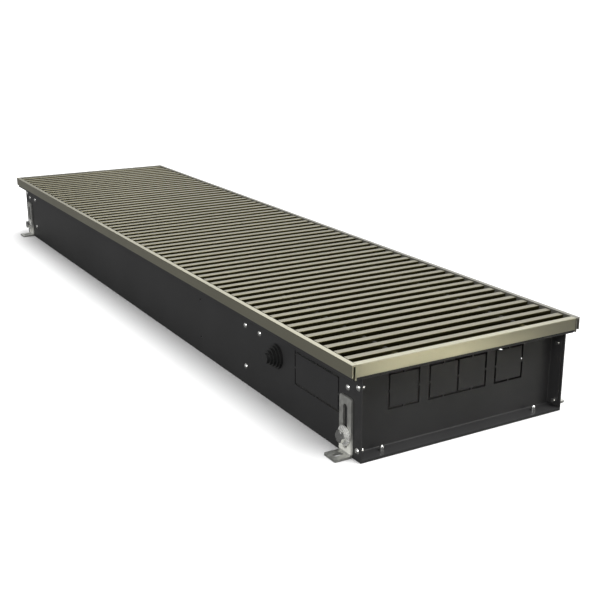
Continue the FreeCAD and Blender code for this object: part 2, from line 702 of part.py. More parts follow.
def bleed_screw():
    """Slotted screw that lets air out at the highest point of the water circuit."""
    top = V((TUBE_X1 + BLOCK_X1) / 2, sum(TUBE_Y) / 2, TUBE_Z[1] + BLOCK_MARGIN)
    stem = rod(top - Z_AXIS * BLEED_DEPTH, Z_AXIS, BLEED_R, BLEED_DEPTH + MOVE_GAP)
    head = rod(top + Z_AXIS * MOVE_GAP, Z_AXIS, BLEED_HEAD_R, BLEED_HEAD)
    top_z = top.z + MOVE_GAP + BLEED_HEAD
    slit_x = (top.x - BLEED_HEAD_R, top.x + BLEED_HEAD_R)
    slit_y = (top.y - BLEED_SLOT / 2, top.y + BLEED_SLOT / 2)
    slit = box(slit_x, slit_y, (top_z - BLEED_SLOT_DEPTH, top_z))
    return fuse([stem, head]).cut(slit)


def pipe_union(y):
    """Brass union with an inner thread for the heating pipe."""
    start = V(UNION_X0, y, TUBE_Z[0])
    neck = rod(start, X_AXIS, UNION_NECK_R, UNION_HEX_X0 - UNION_X0)
    nut = hexagon(V(UNION_HEX_X0, y, TUBE_Z[0]), X_AXIS, UNION_AF, UNION_X1 - UNION_HEX_X0)
    bore = rod(start, X_AXIS, TUBE_BORE_R, UNION_X1 - UNION_X0)
    thread = rod(V(UNION_X1 - THREAD_DEPTH, y, TUBE_Z[0]), X_AXIS, THREAD_R, THREAD_DEPTH)
    return fuse([neck, nut]).cut([bore, thread])


def pipe_unions():
    return Part.makeCompound([pipe_union(y) for y in TUBE_Y])


# ---- crossflow fan ----

def fan_point(angle, radius, x=0.0):
    """Point at an angle and radius about the fan's axis; 0 degrees is +Y and 90 is up."""
    turn = math.radians(angle)
    return V(x, FAN_Y + radius * math.cos(turn), FAN_Z + radius * math.sin(turn))


def blade(angle, start_x, length):
    """Curved impeller blade."""
    middle_r = (IMPELLER_IN_R + IMPELLER_R) / 2
    half_turn = math.degrees(BLADE_THICK / 2 / middle_r)
    ends = []
    for turn in (angle - half_turn, angle + half_turn):
        inner = fan_point(turn, IMPELLER_IN_R, start_x)
        bow = fan_point(turn + BLADE_SWEEP * BLADE_BOW, middle_r, start_x)
        outer = fan_point(turn + BLADE_SWEEP, IMPELLER_R, start_x)
        ends.append((inner, bow, outer))
    edges = [
        Part.Arc(*ends[0]).toShape(),
        Part.LineSegment(ends[0][2], ends[1][2]).toShape(),
        Part.Arc(ends[1][2], ends[1][1], ends[1][0]).toShape(),
        Part.LineSegment(ends[1][0], ends[0][0]).toShape(),
    ]
    return Part.Face(Part.Wire(edges)).extrude(X_AXIS * length)


def fan_impeller(span):
    """Drum of blades between discs, on two hubs."""
    length = span[1] - span[0]
    bay = (length - DISC_THICK) / IMPELLER_BAYS
    discs = [rod(V(span[0] + i * bay, FAN_Y, FAN_Z), X_AXIS, IMPELLER_R, DISC_THICK)
             for i in range(IMPELLER_BAYS + 1)]
    hubs = [rod(V(x, FAN_Y, FAN_Z), X_AXIS, HUB_R, HUB_LENGTH) for x in (span[0], span[1] - HUB_LENGTH)]
    blades = [blade(FULL_TURN / BLADES * i, span[0], length) for i in range(BLADES)]
    drum = discs[0].multiFuse(discs[1:] + hubs + blades)
    return drum.cut(rod(V(span[0], FAN_Y, FAN_Z), X_AXIS, SHAFT_BORE_R, length))


def plate_middle(plate_x):
    return plate_x + BRACKET_THICK / 2


def fan_shaft():
    start = plate_middle(FAR_PLATE_X) - BUSH_LENGTH
    end = plate_middle(NEAR_PLATE_X) + BUSH_LENGTH
    return rod(V(start, FAN_Y, FAN_Z), X_AXIS, SHAFT_R, end - start)


def fan_bushes():
    """Plain bearings at the two ends of the shaft."""
    starts = [V(plate_middle(x) - BUSH_LENGTH / 2, FAN_Y, FAN_Z) for x in (FAR_PLATE_X, NEAR_PLATE_X)]
    return Part.makeCompound([ring(start, X_AXIS, BUSH_R, SHAFT_BORE_R, BUSH_LENGTH) for start in starts])


def rubber_ring(plate_x):
    """Grooved ring that holds a bush or a motor boss in its plate."""
    bore = BUSH_R + FIT_GAP
    neck_start = V(plate_x - RING_FLANGE, FAN_Y, FAN_Z)
    neck = ring(neck_start, X_AXIS, RING_NECK_R, bore, BRACKET_THICK + 2 * RING_FLANGE)
    flanges = [ring(V(x, FAN_Y, FAN_Z), X_AXIS, RING_FLANGE_R, bore, RING_FLANGE)
               for x in (plate_x - RING_FLANGE, plate_x + BRACKET_THICK)]
    return fuse([neck] + flanges)


def fan_rubber_rings():
    return Part.makeCompound([rubber_ring(x) for x in (FAR_PLATE_X,) + CRADLE_X + (NEAR_PLATE_X,)])


def fan_motor():
    """Motor housing with a boss at each end."""
    body = rod(V(MOTOR_X[0], FAN_Y, FAN_Z), X_AXIS, MOTOR_R, MOTOR_X[1] - MOTOR_X[0])
    body = round_edges(body, BEND, lambda p: near(p.x, MOTOR_X[0]) or near(p.x, MOTOR_X[1]))
    start = plate_middle(CRADLE_X[0]) - BUSH_LENGTH / 2
    end = plate_middle(CRADLE_X[1]) + BUSH_LENGTH / 2
    boss = rod(V(start, FAN_Y, FAN_Z), X_AXIS, BUSH_R, end - start)
    return fuse([body, boss]).cut(rod(V(start, FAN_Y, FAN_Z), X_AXIS, SHAFT_BORE_R, end - start))


def motor_cradle():
    """U-shaped sheet on the floor that carries the motor."""
    end_x = CRADLE_X[1] + BRACKET_THICK
    base = box((CRADLE_X[0], end_x), CRADLE_Y, (SHEET, SHEET + BRACKET_THICK))
    uprights = [box((x, x + BRACKET_THICK), CRADLE_Y, (SHEET, CRADLE_TOP)) for x in CRADLE_X]
    holes = [rod(V(x, FAN_Y, FAN_Z), X_AXIS, RING_HOLE_R, BRACKET_THICK) for x in CRADLE_X]
    return fuse([base] + uprights).cut(holes)


def scroll_radius(angle):
    part = (angle - SCROLL_START) / (SCROLL_END - SCROLL_START)
    return SCROLL_R0 + (SCROLL_R1 - SCROLL_R0) * part


def fan_scroll(span):
    """Spiral sheet around an impeller that runs on as the floor of the air outlet."""
    step = (SCROLL_END - SCROLL_START) / SCROLL_STEPS
    angles = [SCROLL_START + step * i for i in range(SCROLL_STEPS + 1)]
    inner = [fan_point(angle, scroll_radius(angle), span[0]) for angle in angles]
    outer = [fan_point(angle, scroll_radius(angle) + SCROLL_THICK, span[0]) for angle in angles]
    inner_curve = Part.BSplineCurve()
    inner_curve.interpolate(inner)
    outer_curve = Part.BSplineCurve()
    outer_curve.interpolate(outer)
    lip_in = V(span[0], SCROLL_LIP_Y, inner[-1].z)
    lip_out = V(span[0], SCROLL_LIP_Y, outer[-1].z)
    edges = [
        inner_curve.toShape(),
        Part.LineSegment(inner[-1], lip_in).toShape(),
        Part.LineSegment(lip_in, lip_out).toShape(),
        Part.LineSegment(lip_out, outer[-1]).toShape(),
        outer_curve.toShape(),
        Part.LineSegment(outer[0], inner[0]).toShape(),
    ]
    return Part.Face(Part.Wire(Part.sortEdges(edges)[0])).extrude(X_AXIS * (span[1] - span[0]))


def fan_tongue():
    """Angle sheet above the outlet that guides the air into the exchanger."""
    span = (FAR_PLATE_X + BRACKET_THICK, NEAR_PLATE_X)
    lip = box(span, (TONGUE_Y, TONGUE_Y + SCROLL_THICK), (TONGUE_Z0, TONGUE_TOP))
    roof = box(span, (TONGUE_Y, TONGUE_END_Y), (TONGUE_TOP - SCROLL_THICK, TONGUE_TOP))
    sheet = fuse([lip, roof])
    return round_edges(sheet, BEND / 2, lambda p: near(p.y, TONGUE_Y) and near(p.z, TONGUE_TOP))


# ---- terminal box and cable entry ----

def grommet_steps():
    """Radius and outward start of each step of the grommet."""
    starts = [0.0] + [GROMMET_BASE + GROMMET_STEP * i for i in range(len(GROMMET_STEPS) - 1)]
    return list(zip(GROMMET_STEPS, starts))


def cable_grommet():
    """Stepped rubber cone, closed at its tip, gripping the wall in a groove."""
    outward = Y_AXIS * -1
    face = V(GROMMET_X, -WALL_Y - FIT_GAP, GROMMET_Z)
    cone = [rod(face + outward * start, outward, radius, GROMMET_STEP) for radius, start in grommet_steps()]
    neck = rod(face, Y_AXIS, GROMMET_NECK_R, SHEET + 2 * FIT_GAP)
    back = V(GROMMET_X, -WALL_IN_Y + FIT_GAP, GROMMET_Z)
    flange = rod(back, Y_AXIS, GROMMET_STEPS[0], GROMMET_INNER_FLANGE)
    depth = GROMMET_BASE + GROMMET_STEP * (len(GROMMET_STEPS) - 1) - GROMMET_SKIN
    length = depth + SHEET + 2 * FIT_GAP + GROMMET_INNER_FLANGE
    cavity = Part.makeCone(GROMMET_CAVITY_R[0], GROMMET_CAVITY_R[1], length,
                           back + Y_AXIS * GROMMET_INNER_FLANGE, outward)
    return fuse(cone + [neck, flange]).cut(cavity)


def terminal_box_base():
    """Open-topped plastic box with a screw ear."""
    shell = box(BOX_X, BOX_Y, BOX_Z)
    hollow = box((BOX_X[0] + BOX_WALL, BOX_X[1] - BOX_WALL), (BOX_Y[0] + BOX_WALL, BOX_Y[1] - BOX_WALL),
                 (BOX_Z[0] + BOX_WALL, BOX_Z[1]))
    ear = box((BOX_EAR_X0, BOX_X[0]), (BOX_Y[0], BOX_Y[0] + BOX_WALL), (BOX_EAR_Z0, BOX_Z[1]))
    bosses = [rod(V(x, BOSS_Y, BOX_Z[0]), Z_AXIS, BOX_BOSS_R, BOX_Z[1] - BOX_Z[0]) for x in BOSS_X]
    base = fuse([shell.cut(hollow), ear] + bosses)
    holes = [rod(V(x, BOSS_Y, BOX_Z[1] - CUT_DEPTH), Z_AXIS, RIVET_HOLE_R, CUT_DEPTH) for x in BOSS_X]
    entry = rod(V(GROMMET_X, BOX_Y[0], GROMMET_Z), Y_AXIS, BOX_GROMMET_R, BOX_WALL)
    screw = rod(V(BOX_SCREW_X, BOX_Y[0], BRACKET_SCREW_Z[1]), Y_AXIS, RIVET_HOLE_R, BOX_WALL)
    return base.cut(holes + [entry, screw])


def terminal_box_lid():
    lid = box(BOX_X, BOX_Y, (BOX_Z[1], BOX_Z[1] + BOX_LID))
    lid = round_edges(lid, BEND, lambda p: near(p.z, BOX_Z[1] + BOX_LID))
    holes = [rod(V(x, BOSS_Y, BOX_Z[1]), Z_AXIS, RIVET_HOLE_R, BOX_LID) for x in BOSS_X]
    return lid.cut(holes)


def terminal_box_screws():
    lid_top = BOX_Z[1] + BOX_LID
    down = Z_AXIS * -1
    return Part.makeCompound([domed_pin(V(x, BOSS_Y, lid_top), down, CUT_DEPTH, 0) for x in BOSS_X])


def pole_places():
    """Bottoms of the screw wells in the terminal block."""
    pitch = (TERMINAL_X[1] - TERMINAL_X[0]) / TERMINAL_POLES
    middle_y = sum(TERMINAL_Y) / 2
    start_z = TERMINAL_TOP - TERMINAL_SCREW_DEPTH
    return [V(TERMINAL_X[0] + pitch * (i + 1 / 2), middle_y, start_z) for i in range(TERMINAL_POLES)]


def terminal_block():
    body = box(TERMINAL_X, TERMINAL_Y, (BOX_Z[0] + BOX_WALL, TERMINAL_TOP))
    well_r = TERMINAL_SCREW_R + FIT_GAP
    wells = [rod(place, Z_AXIS, well_r, TERMINAL_SCREW_DEPTH) for place in pole_places()]
    return body.cut(wells)


def terminal_screws():
    heads = [rod(place, Z_AXIS, TERMINAL_SCREW_R, TERMINAL_SCREW_HEIGHT) for place in pole_places()]
    return Part.makeCompound(heads)


def export(name, shape):
    shape.exportStep("parts/" + name + ".step")
    print(name, "solids", len(shape.Solids), "valid", shape.isValid())


def main():
    os.makedirs("parts", exist_ok=True)
    export("front_wall", front_wall())
    export("rear_wall", rear_wall())
    export("floor_pan", floor_pan())
    export("end_plate_near", end_plate())
    export("end_plate_far", mirror_x(end_plate()))
    export("corner_rivets", corner_rivets())
    export("foot_stop_rivets", foot_stop_rivets())
    export("floor_rivets", floor_rivets())
    export("frame_front", side_frame())
    export("frame_rear", mirror_y(side_frame()))
    export("frame_near_end", end_frame())
    export("frame_far_end", mirror_x(end_frame()))
    export("grille_rest_strips", grille_rest_strips())
    export("grille_slats", grille_slats())
    export("grille_spacers", grille_spacers())
    export("grille_link_springs", grille_link_springs())
    export("grille_end_ferrules", grille_end_ferrules())
    export("foot_near_front", foot())
    export("foot_far_front", mirror_x(foot()))
    export("foot_near_rear", mirror_y(foot()))
    export("foot_far_rear", mirror_x(mirror_y(foot())))
    export("clamp_washers", clamp_washers())
    export("clamp_spring_washers", clamp_spring_washers())
    export("clamp_bolts", clamp_bolts())
    export("weld_nuts", weld_nuts())
    export("support_bracket_far", support_bracket(FAR_PLATE_X, -1))
    export("support_bracket_near", support_bracket(NEAR_PLATE_X, 1))
    export("wall_screws", wall_screws())
    export("exchanger_fins", exchanger_fins())
    export("exchanger_tubes", exchanger_tubes())
    export("exchanger_return_bends", exchanger_return_bends())
    export("exchanger_crossover_block", exchanger_crossover_block())
    export("bleed_screw", bleed_screw())
    export("pipe_unions", pipe_unions())
    export("fan_impeller_far", fan_impeller(IMPELLER_X[0]))
    export("fan_impeller_near", fan_impeller(IMPELLER_X[1]))
    export("fan_shaft", fan_shaft())
    export("fan_bushes", fan_bushes())
    export("fan_rubber_rings", fan_rubber_rings())
    export("fan_motor", fan_motor())
    export("motor_cradle", motor_cradle())
    export("fan_scroll_far", fan_scroll((FAR_PLATE_X + BRACKET_THICK, CRADLE_X[0])))
    export("fan_scroll_near", fan_scroll((CRADLE_X[1] + BRACKET_THICK, NEAR_PLATE_X)))
    export("fan_tongue", fan_tongue())
    export("cable_grommet", cable_grommet())
    export("terminal_box_base", terminal_box_base())
    export("terminal_box_lid", terminal_box_lid())
    export("terminal_box_screws", terminal_box_screws())
    export("terminal_block", terminal_block())
    export("terminal_screws", terminal_screws())


main()
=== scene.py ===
import json
import math

import bmesh
import bpy
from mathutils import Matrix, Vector


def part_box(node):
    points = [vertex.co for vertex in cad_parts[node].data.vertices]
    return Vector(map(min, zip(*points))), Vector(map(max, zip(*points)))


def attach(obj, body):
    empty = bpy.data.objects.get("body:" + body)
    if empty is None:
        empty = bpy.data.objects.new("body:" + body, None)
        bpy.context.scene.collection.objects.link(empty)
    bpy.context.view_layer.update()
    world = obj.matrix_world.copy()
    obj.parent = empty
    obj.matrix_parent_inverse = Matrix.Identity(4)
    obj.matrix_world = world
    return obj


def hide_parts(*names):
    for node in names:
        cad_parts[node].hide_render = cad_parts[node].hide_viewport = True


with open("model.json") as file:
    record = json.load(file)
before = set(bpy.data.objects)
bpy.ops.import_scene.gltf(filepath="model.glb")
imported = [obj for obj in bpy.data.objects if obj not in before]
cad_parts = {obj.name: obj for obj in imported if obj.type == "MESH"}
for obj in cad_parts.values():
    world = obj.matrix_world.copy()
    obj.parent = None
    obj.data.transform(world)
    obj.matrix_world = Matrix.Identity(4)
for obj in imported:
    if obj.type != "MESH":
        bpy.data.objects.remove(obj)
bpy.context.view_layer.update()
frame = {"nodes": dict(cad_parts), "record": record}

NODES = frame["nodes"]
MM = 0.001
WHITE = (1, 1, 1)


# ---- camera, floor and lights ----

# A camera fitted to the photograph gives these angles, place and lens.
AZIMUTH = math.radians(59.767)
ELEVATION = math.radians(16.969)
CAMERA_PLACE = (1.1339, -0.5439, 0.3782)
LENS_MM = 60.26
SENSOR_MM = 36.0
CLIP_START = 10 * MM

# Strengths of the background as the camera sees it and as a light
BACKDROP = 1.1
AMBIENT = 0.45

# Greys of the floor as the camera sees it and as every other ray does
SEEN_FLOOR = 0.98
UNSEEN_FLOOR = 0.13
FLOOR_HALF = 15.0
FLOOR_DROP = 0.4 * MM


def make_camera():
    data = bpy.data.cameras.new("camera")
    data.lens = LENS_MM
    data.sensor_width = SENSOR_MM
    data.clip_start = CLIP_START
    camera = bpy.data.objects.new("camera", data)
    camera.location = CAMERA_PLACE
    camera.rotation_euler = (math.pi / 2 - ELEVATION, 0, AZIMUTH)
    bpy.context.scene.collection.objects.link(camera)
    bpy.context.scene.camera = camera


def aim(place, target):
    """Rotation of a lamp that shines from a place at a target."""
    return (Vector(target) - Vector(place)).to_track_quat("-Z", "Y").to_euler()


def area_light(name, place, target, size, power, colour=WHITE, spread=180.0):
    """Soft box, hidden from the camera; a small spread, in degrees, keeps its light in a beam."""
    data = bpy.data.lights.new(name, "AREA")
    data.spread = math.radians(spread)
    data.shape = "RECTANGLE"
    data.size, data.size_y = size
    data.energy = power
    data.color = colour
    lamp = bpy.data.objects.new(name, data)
    lamp.location = place
    lamp.rotation_euler = aim(place, target)
    lamp.visible_camera = False
    bpy.context.scene.collection.objects.link(lamp)


def sun_light(name, place, strength, width):
    """Distant light from a place towards the origin, as wide as the angle given in degrees."""
    data = bpy.data.lights.new(name, "SUN")
    data.energy = strength
    data.angle = math.radians(width)
    lamp = bpy.data.objects.new(name, data)
    lamp.rotation_euler = aim(place, (0, 0, 0))
    bpy.context.scene.collection.objects.link(lamp)


def make_lights():
    """Large soft lamps, and a small warm one whose pool of light falls on the near rail."""
    sun_light("sky_glow", place=(0.5, 0.3, 1.5), strength=2.9, width=42.0)
    area_light("overhead", place=(-0.9, 0.9, 1.3), target=(0, 0, 0), size=(2.2, 1.6), power=13.0)
    area_light("right_side", place=(2.2, 1.3, 0.35), target=(0.5, 0, 0.06), size=(0.8, 0.5), power=7.0,
               colour=(1.0, 0.97, 0.88))
    area_light("end_pool", place=(0.76, 0.10, 0.45), target=(0.72, 0.10, 0), size=(0.12, 0.12), power=1.45,
               colour=(1.0, 0.955, 0.76), spread=34.0)
    area_light("front_fill", place=(1.0, -2.2, 0.9), target=(0.3, 0, 0), size=(1.6, 1.0), power=20.0)


def split_by_camera(tree, seen, unseen, out):
    """Give camera rays one shader and every other ray another."""
    path = tree.nodes.new("ShaderNodeLightPath")
    mix = tree.nodes.new("ShaderNodeMixShader")
    tree.links.new(path.outputs["Is Camera Ray"], mix.inputs["Fac"])
    tree.links.new(unseen, mix.inputs[1])
    tree.links.new(seen, mix.inputs[2])
    tree.links.new(mix.outputs[0], out.inputs["Surface"])


def make_world():
    """White behind the object, and an even light from all round."""
    world = bpy.data.worlds.new("studio")
    world.use_nodes = True
    tree = world.node_tree
    tree.nodes.clear()

    def background(strength):
        node = tree.nodes.new("ShaderNodeBackground")
        node.inputs["Color"].default_value = (*WHITE, 1)
        node.inputs["Strength"].default_value = strength
        return node.outputs[0]

    out = tree.nodes.new("ShaderNodeOutputWorld")
    split_by_camera(tree, background(BACKDROP), background(AMBIENT), out)
    bpy.context.scene.world = world


def floor_material():
    """White to the camera and a plain grey to reflections and bounced light."""
    mat = bpy.data.materials.new("pale_floor")
    mat.use_nodes = True
    tree = mat.node_tree
    tree.nodes.clear()

    def diffuse(level):
        node = tree.nodes.new("ShaderNodeBsdfDiffuse")
        node.inputs["Color"].default_value = (level, level, level, 1)
        return node.outputs[0]

    out = tree.nodes.new("ShaderNodeOutputMaterial")
    split_by_camera(tree, diffuse(SEEN_FLOOR), diffuse(UNSEEN_FLOOR), out)
    return mat


def make_floor():
    """One plain sheet, just under the object."""
    corners = [(x * FLOOR_HALF, y * FLOOR_HALF, 0) for x, y in ((-1, -1), (1, -1), (1, 1), (-1, 1))]
    mesh = bpy.data.meshes.new("floor")
    mesh.from_pydata(corners, [], [range(len(corners))])
    floor = bpy.data.objects.new("floor", mesh)
    floor.location.z = -FLOOR_DROP
    bpy.context.scene.collection.objects.link(floor)
    mesh.materials.append(floor_material())


# ---- materials ----

# Brushed metals: the frame's front and near rails, a darker copy for its rear and far rails that paints
# shade on them, and the slats
BRONZE = (0.475, 0.458, 0.352)
SHADED_RAIL_BRONZE = (0.22, 0.215, 0.185)
SLAT_BRONZE = (0.285, 0.271, 0.205)
FIN_STOCK = (0.75, 0.76, 0.77)

# Coats
BLACK = (0.039, 0.039, 0.0395)
# The flank colour below is painted shade: it darkens the sides of the slats in place of the shadow in the
# gaps between them
PAINTED_FLANK_SHADE = (0.115, 0.103, 0.048)
MOTOR_PAINT = (0.10, 0.105, 0.11)

# Zinc, and a pale painted reflection of the floor's light on its lower part
GALVANISED = (0.60, 0.605, 0.57)
FLOOR_GLOW_DARK = (0.90, 0.90, 0.83)
FLOOR_GLOW_LIGHT = (1.0, 1.0, 0.93)
BRIGHT_ZINC = (0.86, 0.86, 0.84)
# The washer colour below is a paler copy of the zinc: a painted highlight on the washers round the clamp
# bolts
WASHER_HIGHLIGHT_ZINC = (0.95, 0.95, 0.92)

# Other metals, rubber and plastics
SPRING_STEEL = (0.45, 0.45, 0.45)
BRASS = (0.78, 0.58, 0.28)
COPPER = (0.70, 0.36, 0.22)
TARNISH = (0.42, 0.19, 0.11)
RUBBER = (0.024, 0.024, 0.024)
FAN_PLASTIC = (0.03, 0.03, 0.032)
BOX_PLASTIC = (0.12, 0.125, 0.13)
TERMINAL_PLASTIC = (0.6, 0.6, 0.56)

# Texture scales along X, Y and Z for brush lines that run along one axis
ALONG_X = (3.0, 2200.0, 2200.0)
ALONG_Y = (2200.0, 3.0, 2200.0)

# Heights between which the painted shade on a slat's sides gives way to bronze at its top
SLAT_TOP = 90.5 * MM
FLANK_SHADE_FADE = (SLAT_TOP - 0.22 * MM, SLAT_TOP - 0.01 * MM)

# Heights between which the painted reflection of the floor's light on the zinc comes and goes
FLOOR_GLOW_START = (2.5 * MM, 4 * MM)
FLOOR_GLOW_END = (9 * MM, 24 * MM)
ZINC_METALLIC = 0.75

# Painted shade in the near end plate's slits: the plate is near black below these depths inside the outer
# face of its web, and coated nearer that face
PLATE_SHEET = 1.2 * MM
SLIT_SHADE_DEPTH = (0.10 * MM, 0.02 * MM)

POWDER_GLOSS = 0.3
BUMP_DEPTH = 0.2 * MM


def shade(colour, factor):
    return tuple(channel * factor for channel in colour)


class Finish:
    """A Principled material with short helpers for its texture nodes, all in object coordinates."""

    def __init__(self, name, colour, metallic, roughness):
        self.mat = bpy.data.materials.new(name)
        self.mat.use_nodes = True
        self.nodes, self.links = self.mat.node_tree.nodes, self.mat.node_tree.links
        self.shader = self.nodes["Principled BSDF"]
        self.shader.inputs["Base Color"].default_value = (*colour, 1)
        self.shader.inputs["Metallic"].default_value = metallic
        self.shader.inputs["Roughness"].default_value = roughness
        self.place = self.nodes.new("ShaderNodeTexCoord").outputs["Object"]

    def stretched(self, scale):
        """Object coordinates scaled differently along each axis."""
        mapping = self.nodes.new("ShaderNodeMapping")
        mapping.inputs["Scale"].default_value = scale
        self.links.new(self.place, mapping.inputs["Vector"])
        return mapping.outputs["Vector"]

    def noise(self, vector, scale, detail=3.0, rough=0.55):
        """Cloudy value between 0 and 1."""
        node = self.nodes.new("ShaderNodeTexNoise")
        node.inputs["Scale"].default_value = scale
        node.inputs["Detail"].default_value = detail
        node.inputs["Roughness"].default_value = rough
        self.links.new(vector, node.inputs["Vector"])
        return node.outputs["Fac"]

    def cells(self, vector, scale):
        """Flat patches, each of its own value."""
        node = self.nodes.new("ShaderNodeTexVoronoi")
        node.inputs["Scale"].default_value = scale
        self.links.new(vector, node.inputs["Vector"])
        return node.outputs["Color"]

    def ramp(self, value, low, high, start=0.3, end=0.7):
        """Colour between two ends of a value."""
        node = self.nodes.new("ShaderNodeValToRGB")
        node.color_ramp.elements[0].position = start
        node.color_ramp.elements[1].position = end
        node.color_ramp.elements[0].color = (*low, 1)
        node.color_ramp.elements[1].color = (*high, 1)
        self.links.new(value, node.inputs["Fac"])
        return node.outputs["Color"]

    def tint(self, value, colour, dark, light):
        """Colour between two shades of one colour."""
        return self.ramp(value, shade(colour, dark), shade(colour, light))

    def spread(self, value, low, high):
        """Number between two ends of a value that runs from 0 to 1."""
        node = self.nodes.new("ShaderNodeMapRange")
        node.inputs["To Min"].default_value = low
        node.inputs["To Max"].default_value = high
        self.links.new(value, node.inputs["Value"])
        return node.outputs["Result"]

    def band(self, axis, low, high):
        """Number that climbs from 0 to 1 between two places on an axis."""
        split = self.nodes.new("ShaderNodeSeparateXYZ")
        self.links.new(self.place, split.inputs[0])
        node = self.nodes.new("ShaderNodeMapRange")
        node.interpolation_type = "SMOOTHSTEP"
        node.inputs["From Min"].default_value = low
        node.inputs["From Max"].default_value = high
        self.links.new(split.outputs[axis], node.inputs["Value"])
        return node.outputs["Result"]

    def times(self, first, second):
        """Product of two numbers."""
        node = self.nodes.new("ShaderNodeMath")
        node.operation = "MULTIPLY"
        self.links.new(first, node.inputs[0])
        self.links.new(second, node.inputs[1])
        return node.outputs["Value"]

    def blend(self, factor, first, second):
        """Mixture of two colours."""
        node = self.nodes.new("ShaderNodeMix")
        node.data_type = "RGBA"
        self.links.new(factor, node.inputs["Factor"])
        self.links.new(first, node.inputs["A"])
        self.links.new(second, node.inputs["B"])
        return node.outputs["Result"]

    def colour(self, output):
        self.links.new(output, self.shader.inputs["Base Color"])

    def metallic(self, output):
        self.links.new(output, self.shader.inputs["Metallic"])

    def roughness(self, value, middle, less, more):
        """Roughness that varies with a value, from less than the middle to more."""
        self.links.new(self.spread(value, middle - less, middle + more), self.shader.inputs["Roughness"])

    def bump(self, height, strength):
        node = self.nodes.new("ShaderNodeBump")
        node.inputs["Strength"].default_value = strength
        node.inputs["Distance"].default_value = BUMP_DEPTH
        self.links.new(height, node.inputs["Height"])
        self.links.new(node.outputs["Normal"], self.shader.inputs["Normal"])


def brushed(name, colour, roughness, grain, metallic=1.0, shaded_flanks=False):
    """Anodised metal with brush lines; the flag for slats paints shade on the sides below a slat's top,
    where the gaps between slats lie in shadow.
    """
    finish = Finish(name, colour, metallic, roughness)
    lines = finish.noise(finish.stretched(grain), scale=1.0, detail=4.0, rough=0.7)
    clouds = finish.noise(finish.place, scale=9.0)
    skin = finish.tint(clouds, colour, dark=0.92, light=1.05)
    if shaded_flanks:
        # Painted shade: below a slat's top its sides turn dark, standing in for the shadow in the gaps
        flank_shade = finish.tint(lines, PAINTED_FLANK_SHADE, dark=0.8, light=1.2)
        skin = finish.blend(finish.band("Z", *FLANK_SHADE_FADE), flank_shade, skin)
    finish.colour(skin)
    finish.roughness(lines, roughness, less=0.07, more=0.09)
    finish.bump(lines, strength=0.06)
    return finish.mat


def powder_coat(name, colour, roughness, slit_shade_edge=None):
    """Satin powder coat with a fine orange-peel skin.

    The edge argument holds two places on X: below the first the coat is painted near black, as shade on the
    slits' cut faces, and above the second it is coated.
    """
    finish = Finish(name, colour, 0.0, roughness)
    peel = finish.noise(finish.place, scale=900.0, detail=2.0)
    clouds = finish.noise(finish.place, scale=14.0, detail=4.0)
    skin = finish.tint(clouds, colour, dark=0.88, light=1.12)
    if slit_shade_edge:
        # Painted shade: the cut faces of the slits are made near black
        slit_shade = finish.tint(clouds, colour, dark=0.05, light=0.15)
        skin = finish.blend(finish.band("X", *slit_shade_edge), slit_shade, skin)
    finish.colour(skin)
    finish.roughness(clouds, roughness, less=0.05, more=0.06)
    finish.bump(peel, strength=0.18)
    finish.shader.inputs["Specular IOR Level"].default_value = POWDER_GLOSS
    return finish.mat


def galvanised(name, roughness):
    """Zinc-dipped sheet with its crystal spangle, and a pale, less metallic painted reflection of the
    floor's light wherever it is low in the box.
    """
    finish = Finish(name, GALVANISED, ZINC_METALLIC, roughness)
    spangle = finish.cells(finish.place, scale=320.0)
    grey = finish.ramp(spangle, shade(GALVANISED, 0.82), shade(GALVANISED, 1.1), start=0.1, end=0.9)
    # Painted reflection: pale, less metallic zinc low down stands in for the floor's light reflected on the
    # feet
    floor_glow = finish.ramp(spangle, FLOOR_GLOW_DARK, FLOOR_GLOW_LIGHT, start=0.1, end=0.9)
    above_toe = finish.band("Z", *FLOOR_GLOW_START)
    below_clamp = finish.spread(finish.band("Z", *FLOOR_GLOW_END), 1.0, 0.0)
    glow_share = finish.times(above_toe, below_clamp)
    finish.colour(finish.blend(glow_share, grey, floor_glow))
    finish.metallic(finish.spread(glow_share, ZINC_METALLIC, 0.0))
    finish.roughness(spangle, roughness, less=0.10, more=0.08)
    finish.bump(finish.noise(finish.place, scale=600.0), strength=0.08)
    return finish.mat


def plated(name, colour, roughness, metallic=1.0):
    """Turned or plated metal with faint handling marks."""
    finish = Finish(name, colour, metallic, roughness)
    marks = finish.noise(finish.place, scale=420.0, detail=5.0, rough=0.65)
    finish.colour(finish.tint(marks, colour, dark=0.85, light=1.06))
    finish.roughness(marks, roughness, less=0.06, more=0.12)
    finish.bump(marks, strength=0.05)
    return finish.mat


def moulded(name, colour, roughness):
    """Moulded plastic or rubber with a fine spark-eroded grain."""
    finish = Finish(name, colour, 0.0, roughness)
    skin = finish.noise(finish.place, scale=700.0)
    finish.colour(finish.tint(skin, colour, dark=0.85, light=1.15))
    finish.roughness(skin, roughness, less=0.08, more=0.08)
    finish.bump(skin, strength=0.2)
    return finish.mat


def tarnished_copper(name, roughness):
    """Copper tube with brown clouds of tarnish."""
    finish = Finish(name, COPPER, 1.0, roughness)
    clouds = finish.noise(finish.place, scale=60.0, detail=6.0, rough=0.6)
    finish.colour(finish.ramp(clouds, TARNISH, COPPER))
    finish.roughness(clouds, roughness, less=0.06, more=0.16)
    finish.bump(finish.noise(finish.place, scale=800.0), strength=0.06)
    return finish.mat


